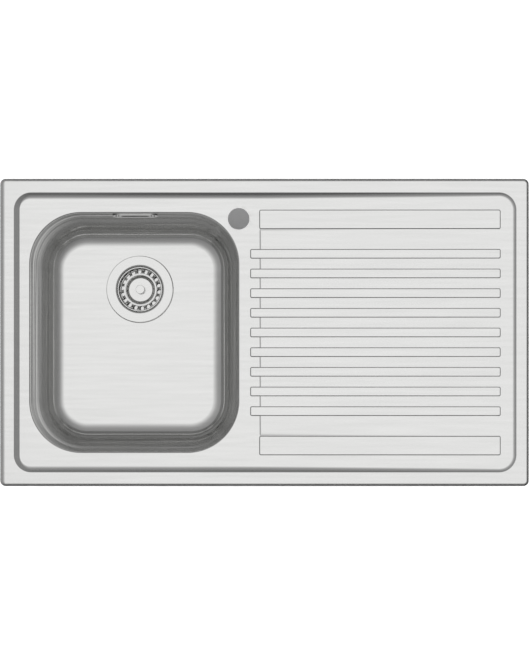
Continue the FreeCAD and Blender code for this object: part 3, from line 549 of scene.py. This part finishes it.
def rib(skin, left, centre_y, half_depth):
    """One raised rib with soft sides; returns the loop where it leaves the ground."""
    half_length = (RIB_RIGHT - left) / 2
    middle = ((RIB_RIGHT + left) / 2, centre_y)
    outline = contour(middle, half_length, half_depth, RIB_CORNER, 6, ramp_stops())
    loops = []
    for share in even(0, 1, 6):
        ring = []
        for point, normal in outline:
            spot = point - normal * RIB_SIDE * share
            low = ground_z(point.x, point.y)
            high = floor_z(spot.x) + RIB_HEIGHT
            ring.append((spot.x, spot.y, low + (high - low) * ease(share)))
        loops.append(skin.loop(ring))
    skin.bands(loops)
    skin.fill(loops[-1])
    return loops[0]


def ramp_stops():
    """Places along X where the ramp up to the raised field bends."""
    return even(RAMP_START, RAMP_END, 4)


def ramp_lines(skin, rib_loops):
    """Edges across the field's ramp, between the ribs, so that it bends along straight lines."""
    lines = []
    for x in ramp_stops():
        crossings = []
        for ring in rib_loops:
            crossings += [p for p in ring if abs(skin.points[p][0] - x) < 1e-9]
        crossings.sort(key=lambda p: skin.points[p][1])
        ends = []
        for sign in (-1, 1):
            stops = [FIELD_HALF - 0.3 * MM, FIELD_HALF - FIELD_FADE, FIELD_HALF - 10 * MM]
            ends.append(skin.loop([(x, sign * y, ground_z(x, sign * y)) for y in stops]))
        lines.append(ends[0] + crossings[:1])
        lines += [crossings[i:i + 2] for i in range(1, len(crossings) - 1, 2)]
        lines.append(crossings[-1:] + ends[1][::-1])
    return lines


def top_sheet():
    """Top sheet: edge, rim, sunk pan, bowl opening, tap hole and ribbed drainboard."""
    skin = Skin()
    edge = turned_edge(skin)
    step_top, step_foot = pan_step(skin)
    skin.fill(edge, [step_top])
    lip = bowl_lip(skin)
    hole = skin.loop([(p.x, p.y, PAN_FLOOR) for p in circle(TAP, TAP_RADIUS, 64)])
    narrow = []
    for number in range(NARROW_COUNT):
        y = (number - (NARROW_COUNT - 1) / 2) * 2 * RIB_MODULE
        narrow.append(rib(skin, NARROW_LEFT, y, RIB_MODULE / 2))
    wide = [rib(skin, WIDE_LEFT, y, RIB_MODULE) for y in (-WIDE_CENTRE, WIDE_CENTRE)]
    skin.fill(step_foot, [lip, hole] + narrow + wide, ramp_lines(skin, narrow))
    piece = thicken(skin.build("top_sheet"), STEEL)
    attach(piece, "sink")
    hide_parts("drainer_top")
    return piece


# ---- Bowl ---------------------------------------------------------------------------
def wall_profile():
    """Wall from the weld down to the floor as (inset, height): it leans further in as it
    goes down, until it meets the round bottom edge."""
    wall = BOWL_JOINT - BOWL_FLOOR - BOTTOM_RADIUS * (1 - math.sin(DRAFT_FOOT))
    line = [Vector((0, BOWL_JOINT))]
    for share in even(0.5 / WALL_STEPS, 1 - 0.5 / WALL_STEPS, WALL_STEPS - 1):
        draft = DRAFT_TOP + (DRAFT_FOOT - DRAFT_TOP) * share
        drop = wall / WALL_STEPS
        line.append(line[-1] + Vector((drop * math.tan(draft), -drop)))
    centre = line[-1] + Vector((BOTTOM_RADIUS * math.cos(DRAFT_FOOT), BOTTOM_RADIUS * math.sin(DRAFT_FOOT)))
    for angle in even(math.pi + DRAFT_FOOT, math.pi * 1.5, 28)[1:]:
        line.append(centre + BOTTOM_RADIUS * Vector((math.cos(angle), math.sin(angle))))
    return line + [line[-1] + Vector((MM, 0))]


def overflow_cutter():
    """Block with round ends in the shape of the overflow's hole, across the back wall."""
    plate_low, plate_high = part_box("overflow_plate")
    wall = Vector((BOWL_X, plate_high.y, OVERFLOW_Z))
    ends = OVERFLOW_HEIGHT / 2.01
    outline = contour((0, 0), OVERFLOW_LENGTH / 2, OVERFLOW_HEIGHT / 2, ends, 10)
    count = len(outline)
    points = []
    for depth in (-CUTTER_HALF, CUTTER_HALF):
        points += [wall + Vector((p.x, depth, p.y)) for p, normal in outline]
    faces = [tuple(range(count - 1, -1, -1)), tuple(range(count, 2 * count))]
    faces += [(i, (i + 1) % count, (i + 1) % count + count, i + count) for i in range(count)]
    mesh = bpy.data.meshes.new("overflow_cutter")
    mesh.from_pydata([tuple(p) for p in points], [], faces)
    cutter = bpy.data.objects.new("overflow_cutter", mesh)
    bpy.context.scene.collection.objects.link(cutter)
    return cutter


def cut(piece, cutter):
    """Cuts a hole for good, with the piece's thickness and shading already in its mesh."""
    hole = piece.modifiers.new("hole", "BOOLEAN")
    hole.object = cutter
    hole.solver = "EXACT"
    piece.modifiers.move(len(piece.modifiers) - 1, 1)
    made = piece.evaluated_get(bpy.context.evaluated_depsgraph_get())
    mesh = bpy.data.meshes.new_from_object(made)
    piece.modifiers.clear()
    piece.data = mesh
    bpy.data.objects.remove(cutter)
    return piece


def bowl_sheet():
    """Drawn bowl: leaning walls, round bottom edge, flat floor and the waste's recess."""
    skin = Skin()
    opening = contour((BOWL_X, 0), BOWL_HALF_X, BOWL_HALF_Y, BOWL_CORNER, 32)
    loops = [skin.loop([(*(p - n * inset), z) for p, n in opening]) for inset, z in wall_profile()]
    skin.bands(loops)
    recess = []
    for share in even(0, 1, 6):
        radius = RECESS_TOP + (RECESS_FLOOR - RECESS_TOP) * share
        z = BOWL_FLOOR - RECESS_DEPTH * ease(share)
        recess.append(skin.loop([(p.x, p.y, z) for p in circle(RECESS, radius, 96)]))
    hole = [(p.x, p.y, BOWL_FLOOR - RECESS_DEPTH) for p in circle(WASTE, WASTE_HOLE, 96)]
    recess.append(skin.loop(hole))
    skin.bands(recess)
    skin.fill(loops[-1], [recess[0]])
    piece = cut(thicken(skin.build("bowl_sheet"), STEEL), overflow_cutter())
    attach(piece, "sink")
    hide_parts("bowl")
    return piece


# ---- Finish of the frame's own pieces -------------------------------------------------
def finish_nodes():
    """Gives each of the frame's pieces the finish of its slot."""
    slots = {part["node"]: part["material_slot"] for part in frame["record"]["subparts"]}
    zinc = galvanised("galvanised_steel")
    finishes = {
        "steel": STAINLESS, "polished_steel": polished_stainless(), "zinc": zinc,
        "foam": foam_tape(), "rubber": black_rubber(), "damping": bitumen_pad(),
        "plastic": moulded_polypropylene(), "brass": turned_brass(),
        "hose": moulded_polypropylene("corrugated_hose", "#c3c4c1", "#cecfcb"),
    }
    thread = galvanised("galvanised_thread", thread=True)
    for name, node in nodes.items():
        node.data.materials.clear()
        node.data.materials.append(thread if name.startswith("clip_screw") else finishes[slots[name]])


# ---- Studio -------------------------------------------------------------------------
CAMERA_HEIGHT = 3.54
CAMERA_X = 0.9 * MM
CAMERA_Y = -75 * MM
LENS = 117.7
SENSOR = 36


def camera():
    """Looks straight down from a little in front of the middle, shifted to centre the sink."""
    eye = bpy.data.cameras.new("camera")
    eye.lens = LENS
    eye.sensor_width = SENSOR
    eye.shift_y = -CAMERA_Y / (CAMERA_HEIGHT * SENSOR / LENS)
    holder = bpy.data.objects.new("camera", eye)
    holder.location = (CAMERA_X, CAMERA_Y, CAMERA_HEIGHT)
    bpy.context.scene.collection.objects.link(holder)
    bpy.context.scene.camera = holder


def floor():
    """White paper floor under the waste, which keeps the sink's shadow."""
    level = cad_bounds[0].z
    mesh = bpy.data.meshes.new("floor")
    corners = [(-1, -1), (1, -1), (1, 1), (-1, 1)]
    mesh.from_pydata([(x * FLOOR_REACH, y * FLOOR_REACH, level) for x, y in corners], [], [(0, 1, 2, 3)])
    piece = bpy.data.objects.new("floor", mesh)
    bpy.context.scene.collection.objects.link(piece)
    material, tree, shader = new_material("white_paper", Base_Color=linear("#f7f7f7"), Roughness=0.9)
    shader.inputs["Specular IOR Level"].default_value = 0.0
    rays = add(tree, "ShaderNodeLightPath")
    seen = add(tree, "ShaderNodeMath", {"operation": "MAXIMUM"},
               {0: rays.outputs["Is Camera Ray"], 1: rays.outputs["Is Glossy Ray"]})
    lift = add(tree, "ShaderNodeMath", {"operation": "MULTIPLY", 1: FLOOR_GLOW}, {0: seen.outputs[0]})
    glow = add(tree, "ShaderNodeEmission", {"Color": (1, 1, 1, 1)}, {"Strength": lift.outputs[0]})
    both = add(tree, "ShaderNodeAddShader", {}, {0: shader.outputs[0], 1: glow.outputs[0]})
    tree.links.new(both.outputs[0], tree.nodes["Material Output"].inputs["Surface"])
    mesh.materials.append(material)


# Brightness of the studio by the angle, in degrees, from the middle of its overhead softbox
STUDIO = [(0, 1.08), (10, 1.08), (12, 1.01), (15, 0.92), (18, 0.81), (21, 0.74), (25, 0.64), (30, 0.52),
          (37, 0.4), (45, 0.34), (53, 0.31), (62, 0.28), (70, 0.2), (77, 0.13), (84, 0.07), (90, 0.03),
          (96, 0.05), (110, 0.26), (180, 0.3)]
SOFTBOX = Vector((0.08, 0.05, 1)).normalized()
SOFTBOX_SHAPE = Vector((0.8, 1, 1))
SIDE_LIGHT = Vector((-0.07, 0.03, 0))
DIMMEST = 0.01
FLOOR_REACH = 40.0
FLOOR_GLOW = 0.05
LAMP_POWER = 2.6
LAMP_ANGLE = math.radians(2.5)
LAMP_PLACE = Vector((-0.28, 0.09, 2.5))
LAMP_AIM = Vector((0.109, -0.035, -1))


def world():
    """Soft studio: an overhead softbox that fades into dim walls, a little lighter on the left."""
    sky = bpy.data.worlds.new("studio")
    bpy.context.scene.world = sky
    sky.use_nodes = True
    tree = sky.node_tree
    place = add(tree, "ShaderNodeTexCoord")
    longer = add(tree, "ShaderNodeVectorMath", {"operation": "MULTIPLY", 1: SOFTBOX_SHAPE},
                 {0: place.outputs["Generated"]})
    ray = add(tree, "ShaderNodeVectorMath", {"operation": "NORMALIZE"}, {0: longer.outputs[0]})
    aim = add(tree, "ShaderNodeVectorMath", {"operation": "DOT_PRODUCT", 1: SOFTBOX}, {0: ray.outputs[0]})
    angle = add(tree, "ShaderNodeMath", {"operation": "ARCCOSINE"}, {0: aim.outputs["Value"]})
    share = add(tree, "ShaderNodeMath", {"operation": "DIVIDE", 1: math.pi}, {0: angle.outputs[0]})
    ramp = add(tree, "ShaderNodeValToRGB", {}, {"Fac": share.outputs[0]})
    bar = ramp.color_ramp
    while len(bar.elements) < len(STUDIO):
        bar.elements.new(0.5)
    for element, (degrees, value) in zip(bar.elements, STUDIO):
        element.position = degrees / 180
        element.color = (value, value, value, 1)
    side = add(tree, "ShaderNodeVectorMath", {"operation": "DOT_PRODUCT", 1: SIDE_LIGHT},
               {0: place.outputs["Generated"]})
    total = add(tree, "ShaderNodeMath", {"operation": "ADD"},
                {0: ramp.outputs["Color"], 1: side.outputs["Value"]})
    kept = add(tree, "ShaderNodeMath", {"operation": "MAXIMUM", 1: DIMMEST}, {0: total.outputs[0]})
    tree.links.new(kept.outputs[0], tree.nodes["Background"].inputs["Strength"])
    tree.nodes["Background"].inputs["Color"].default_value = (1, 1, 1, 1)


def key_lamp():
    """Distant lamp that lights the floor from nearly overhead and stays out of the reflections."""
    light = bpy.data.lights.new("key_lamp", "SUN")
    light.angle = LAMP_ANGLE
    light.energy = LAMP_POWER
    holder = bpy.data.objects.new("key_lamp", light)
    holder.location = LAMP_PLACE
    holder.rotation_euler = LAMP_AIM.to_track_quat("-Z", "Y").to_euler()
    holder.visible_glossy = False
    bpy.context.scene.collection.objects.link(holder)


STAINLESS = brushed_stainless()
UNDERCOAT = sprayed_undercoat()
camera()
floor()
world()
key_lamp()
finish_nodes()
top_sheet()
bowl_sheet()

scene = bpy.context.scene
scene.view_settings.view_transform = "Standard"
